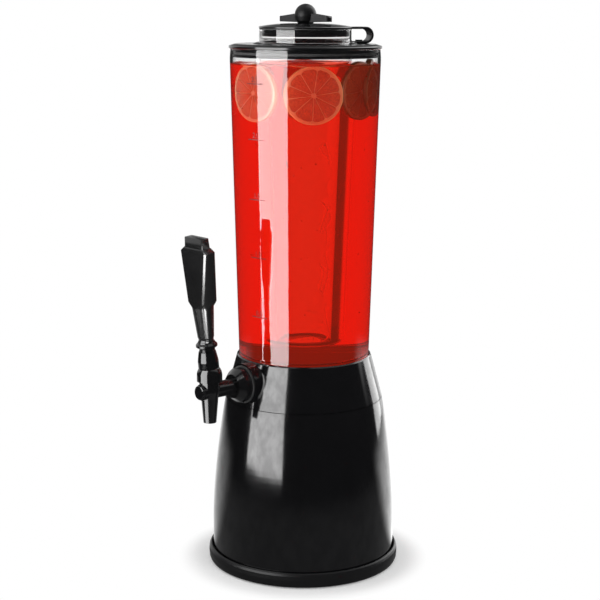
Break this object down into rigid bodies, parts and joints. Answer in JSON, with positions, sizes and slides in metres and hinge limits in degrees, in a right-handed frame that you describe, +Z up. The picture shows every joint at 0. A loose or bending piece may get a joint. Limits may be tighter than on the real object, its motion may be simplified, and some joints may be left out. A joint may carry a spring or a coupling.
{
  "type": "drink tower dispenser",
  "caption": "Tall drinks tower with a clear tapered tube, a lid-hung ice tube with a tethered cap, a bell base and a lever tap.",
  "frame": {"origin": "centre of the anti-slip disc's underside, on the table", "axes": "+Z up along the tower, -Y to the front, where the tap points"},
  "size_m": [0.1724, 0.2095, 0.4985],
  "materials": {
    "base_black": "gloss moulded",
    "bell_black": "high gloss moulded",
    "lid_black": "satin gloss moulded",
    "tap_black": "gloss moulded",
    "handle_black": "satin moulded",
    "strap_black": "soft flexible plastic",
    "inner_black": "moulded",
    "clear_plastic": "clear polished plastic",
    "rubber": "matt",
    "silicone": "translucent matt",
    "screw_steel": "stainless",
    "brass": "turned"
  },
  "bodies": {
    "tower": {"anti_slip_disc": "rubber", "base_tray": "base_black", "tray_screws": "screw_steel", "lower_bell": "bell_black", "collar_screws": "screw_steel", "upper_bell": "bell_black", "reservoir_cup": "inner_black", "seat_gasket": "rubber", "clear_tube": "clear_plastic", "tap_shank": "tap_black", "outer_washer": "rubber", "inner_washer": "rubber", "inner_lock_nut": "tap_black", "coupling_nut": "tap_black", "coupling_washer": "silicone", "tap_body": "tap_black", "front_plug": "tap_black", "plug_seal": "rubber", "bonnet_nut": "tap_black", "ball_seat": "silicone"},
    "lid": {"lid": "lid_black", "lid_seal": "rubber", "strap_pin": "lid_black", "cap_strap": "strap_black", "ice_tube": "clear_plastic", "ice_tube_seal": "rubber"},
    "cap": {"ice_cap": "lid_black", "cap_seal": "rubber", "cap_knob": "lid_black", "knob_screw": "screw_steel"},
    "lever": {"handle_lever": "tap_black", "ferrule": "tap_black", "handle_insert": "brass", "handle_grip": "handle_black"},
    "plunger": {"valve_plunger": "screw_steel", "valve_washer": "silicone"}
  },
  "joints": [
    {"name": "lid_lift", "type": "slide", "parent": "tower", "child": "lid", "axis": [0, 0, 1], "range_m": [0, 0.29]},
    {"name": "cap_flip", "type": "hinge", "parent": "lid", "child": "cap", "pos_m": [0.01792, 0.05516, 0.4735], "axis": [-0.9511, 0.309, 0], "range_deg": [0, 105], "deforming": ["cap_strap"]},
    {"name": "handle_pull", "type": "hinge", "parent": "tower", "child": "lever", "pos_m": [0, -0.106, 0.187], "axis": [1, 0, 0], "range_deg": [0, 25]},
    {"name": "plunger_slide", "type": "slide", "parent": "tower", "child": "plunger", "axis": [0, 1, 0], "range_m": [0, 0.00585]}
  ],
  "couplings": [
    {"joint": "plunger_slide", "follows": "handle_pull", "m_per_rad": 0.013171}
  ]
}
